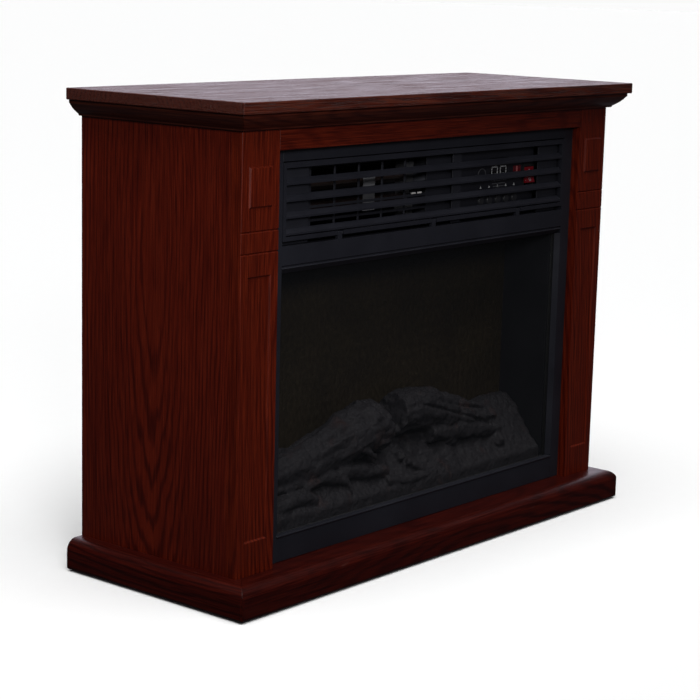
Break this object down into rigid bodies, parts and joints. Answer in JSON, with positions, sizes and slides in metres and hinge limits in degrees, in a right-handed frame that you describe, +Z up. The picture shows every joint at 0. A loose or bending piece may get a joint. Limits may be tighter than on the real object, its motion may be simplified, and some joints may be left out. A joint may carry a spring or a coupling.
{
  "type": "electric fireplace",
  "caption": "Free-standing electric fireplace: wooden mantel, glass-fronted flame box with log set, louvred fold-down door over heater outlet and controls.",
  "frame": {"origin": "middle of the footprint, on the floor", "axes": "+X across the front, to the right as seen from the front; +Y from the front to the back; +Z up"},
  "size_m": [0.844, 0.317, 0.635],
  "materials": {
    "cherry_veneer": "satin lacquered cherry veneer, open grain",
    "plain_board": "bare particle board and pine",
    "black_hardboard": "black painted hardboard",
    "glide_plastic": "matt black",
    "gland_rubber": "matt black",
    "screw_steel": "zinc plated",
    "frame_black": "satin black, fine texture",
    "louver_black": "satin black moulding",
    "plate_black": "matt black",
    "front_glass": "clear, flat",
    "gasket_cord": "woven black cord",
    "case_steel": "matt blue-black",
    "duct_steel": "galvanised sheet",
    "bright_metal": "bright rolled sheet",
    "white_insulator": "unglazed white steatite",
    "quartz": "clear quartz tube",
    "coil_wire": "dull resistance wire",
    "wheel_metal": "pressed sheet",
    "motor_metal": "laminated steel",
    "board_green": "solder-masked board",
    "display_dark": "smoked window",
    "button_plastic": "satin dark grey",
    "rocker_black": "black",
    "rocker_red": "translucent red",
    "screen_plastic": "smoked diffusing sheet",
    "log_resin": "painted cast resin, charred wood look"
  },
  "bodies": {
    "cabinet": {"back_panel": "black_hardboard", "base_front": "cherry_veneer", "base_left": "cherry_veneer", "base_rear": "plain_board", "base_right": "cherry_veneer", "blower_housing": "duct_steel", "blower_motor": "motor_metal", "bottom_panel": "plain_board", "case_back": "case_steel", "case_divider": "case_steel", "case_floor": "case_steel", "case_side_left": "case_steel", "case_side_right": "case_steel", "case_top": "case_steel", "control_board": "board_green", "control_fascia": "plate_black", "cord_gland": "gland_rubber", "corner_blocks": "plain_board", "cornice_front": "cherry_veneer", "cornice_left": "cherry_veneer", "cornice_right": "cherry_veneer", "display_module": "display_dark", "flame_screen": "screen_plastic", "frame_bottom_rail": "frame_black", "frame_mid_band": "frame_black", "frame_stile_left": "frame_black", "frame_stile_right": "frame_black", "frame_top_bar": "frame_black", "glass_gasket": "gasket_cord", "glass_pane": "front_glass", "glides": "glide_plastic", "heater_duct": "duct_steel", "heater_front_plates": "plate_black", "heating_coils": "coil_wire", "led_board": "board_green", "log_set": "log_resin", "outlet_grid": "plate_black", "pilaster_left": "cherry_veneer", "pilaster_right": "cherry_veneer", "quartz_tubes": "quartz", "reflector": "bright_metal", "rocker_housing": "rocker_black", "rotor_brackets": "duct_steel", "rotor_motor": "motor_metal", "screws": "screw_steel", "side_panel_left": "cherry_veneer", "side_panel_right": "cherry_veneer", "top_board": "cherry_veneer", "top_cleats": "plain_board", "top_rail": "cherry_veneer", "tube_holders": "white_insulator"},
    "louver_door": {"louver_door": "louver_black"},
    "power_rocker": {"power_rocker": "rocker_red"},
    "blower_wheel": {"blower_wheel": "wheel_metal"},
    "flame_rotor": {"flame_rotor": "bright_metal"},
    "button_1": {"button_1": "button_plastic"},
    "button_2": {"button_2": "button_plastic"},
    "button_3": {"button_3": "button_plastic"},
    "button_4": {"button_4": "button_plastic"},
    "button_5": {"button_5": "button_plastic"}
  },
  "joints": [
    {"name": "louver_door_hinge", "type": "hinge", "parent": "cabinet", "child": "louver_door", "pos_m": [0, -0.1073, 0.4595], "axis": [1, 0, 0], "range_deg": [0, 90]},
    {"name": "power_rocker_hinge", "type": "hinge", "parent": "cabinet", "child": "power_rocker", "pos_m": [0.2368, -0.0865, 0.5045], "axis": [1, 0, 0], "range_deg": [0, 16]},
    {"name": "blower_wheel_spin", "type": "hinge", "parent": "cabinet", "child": "blower_wheel", "pos_m": [0, 0.0395, 0.5025], "axis": [1, 0, 0], "continuous": true},
    {"name": "flame_rotor_spin", "type": "hinge", "parent": "cabinet", "child": "flame_rotor", "pos_m": [0, 0.0275, 0.116], "axis": [1, 0, 0], "continuous": true},
    {"name": "button_1_press", "type": "slide", "parent": "cabinet", "child": "button_1", "axis": [0, 1, 0], "range_m": [0, 0.0012], "stiffness_N_per_m": 1200},
    {"name": "button_2_press", "type": "slide", "parent": "cabinet", "child": "button_2", "axis": [0, 1, 0], "range_m": [0, 0.0012], "stiffness_N_per_m": 1200},
    {"name": "button_3_press", "type": "slide", "parent": "cabinet", "child": "button_3", "axis": [0, 1, 0], "range_m": [0, 0.0012], "stiffness_N_per_m": 1200},
    {"name": "button_4_press", "type": "slide", "parent": "cabinet", "child": "button_4", "axis": [0, 1, 0], "range_m": [0, 0.0012], "stiffness_N_per_m": 1200},
    {"name": "button_5_press", "type": "slide", "parent": "cabinet", "child": "button_5", "axis": [0, 1, 0], "range_m": [0, 0.0012], "stiffness_N_per_m": 1200}
  ]
}
